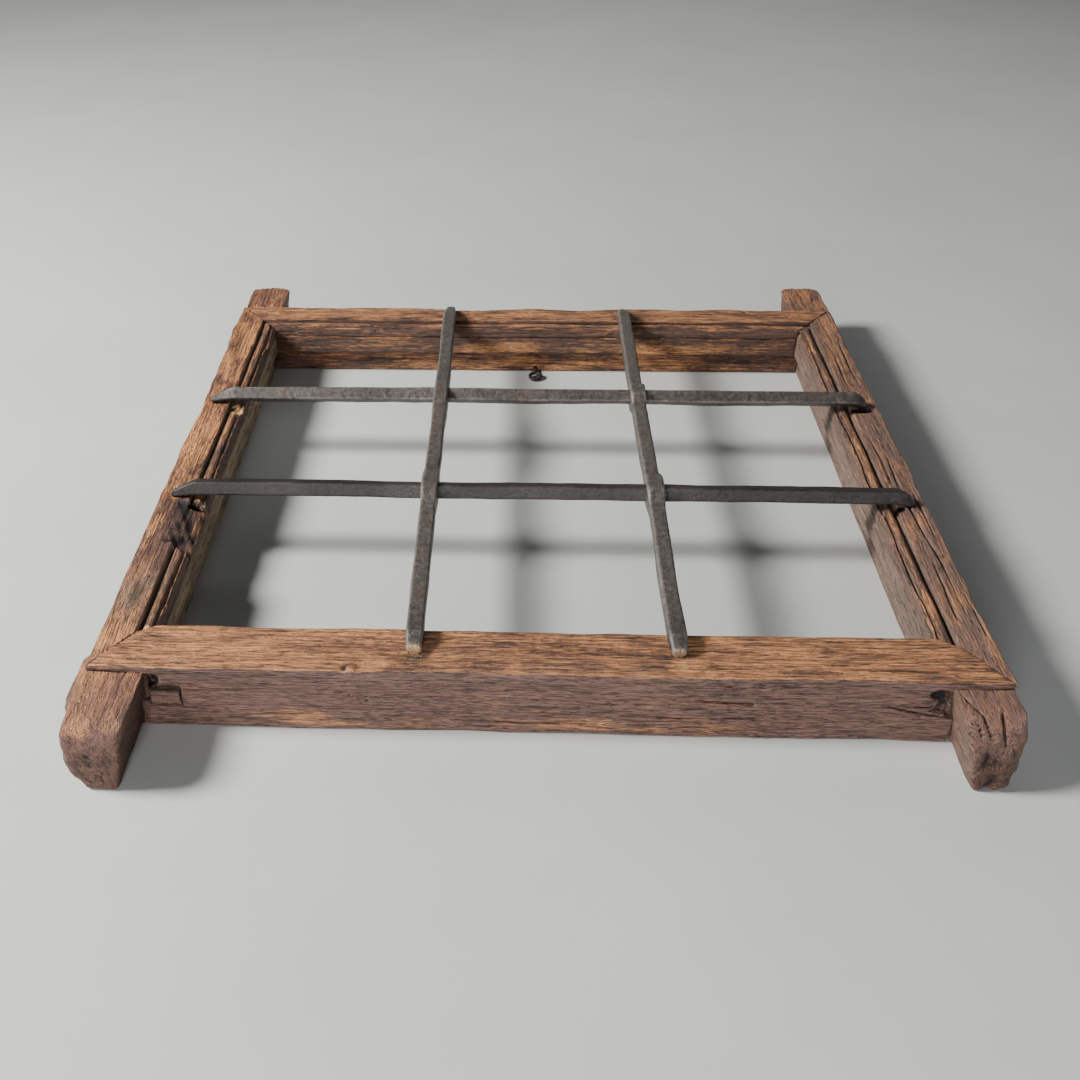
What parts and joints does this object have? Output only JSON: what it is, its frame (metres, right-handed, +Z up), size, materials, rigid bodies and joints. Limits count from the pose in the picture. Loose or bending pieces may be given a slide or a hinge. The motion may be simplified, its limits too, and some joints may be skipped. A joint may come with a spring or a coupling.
{
  "type": "soil sieve",
  "caption": "Coarse soil sieve: an old mortised wooden window frame with long horns, a moulded inner edge and a forged iron bar grille.",
  "frame": {"origin": "on the floor, under the middle of the frame, halfway between the ends of the horns", "axes": "+X to the right along the rails, +Y from the front rail to the back rail along the stiles, +Z up out of the face with the grille"},
  "size_m": [0.72, 0.8, 0.085],
  "materials": {
    "stile_wood": "dark oiled and weathered, worn arrises",
    "rail_wood": "dark oiled and weathered, worn arrises",
    "strip_wood": "dark, worn and split moulding",
    "patch_wood": "grey-brown, dull",
    "peg_wood": "dark end grain",
    "bar_iron": "forged, dark brown-grey, waxed over old rust",
    "brad_iron": "rusted",
    "latch_iron": "rusted"
  },
  "bodies": {
    "root": {"stile_left": "stile_wood", "stile_right": "stile_wood", "rail_back": "rail_wood", "rail_front": "rail_wood", "patch_block": "patch_wood", "strip_right": "strip_wood", "strip_left_back": "strip_wood", "strip_left_front": "strip_wood", "strip_back": "strip_wood", "bar_cross_back": "bar_iron", "bar_cross_front": "bar_iron", "bar_long_left": "bar_iron", "bar_long_right": "bar_iron", "peg_front_left": "peg_wood", "peg_front_right": "peg_wood", "peg_back_left": "peg_wood", "peg_back_right": "peg_wood", "brads_right": "brad_iron", "brads_back": "brad_iron", "brads_left_back": "brad_iron", "brads_left_front": "brad_iron", "latch_eye": "latch_iron"}
  },
  "joints": []
}
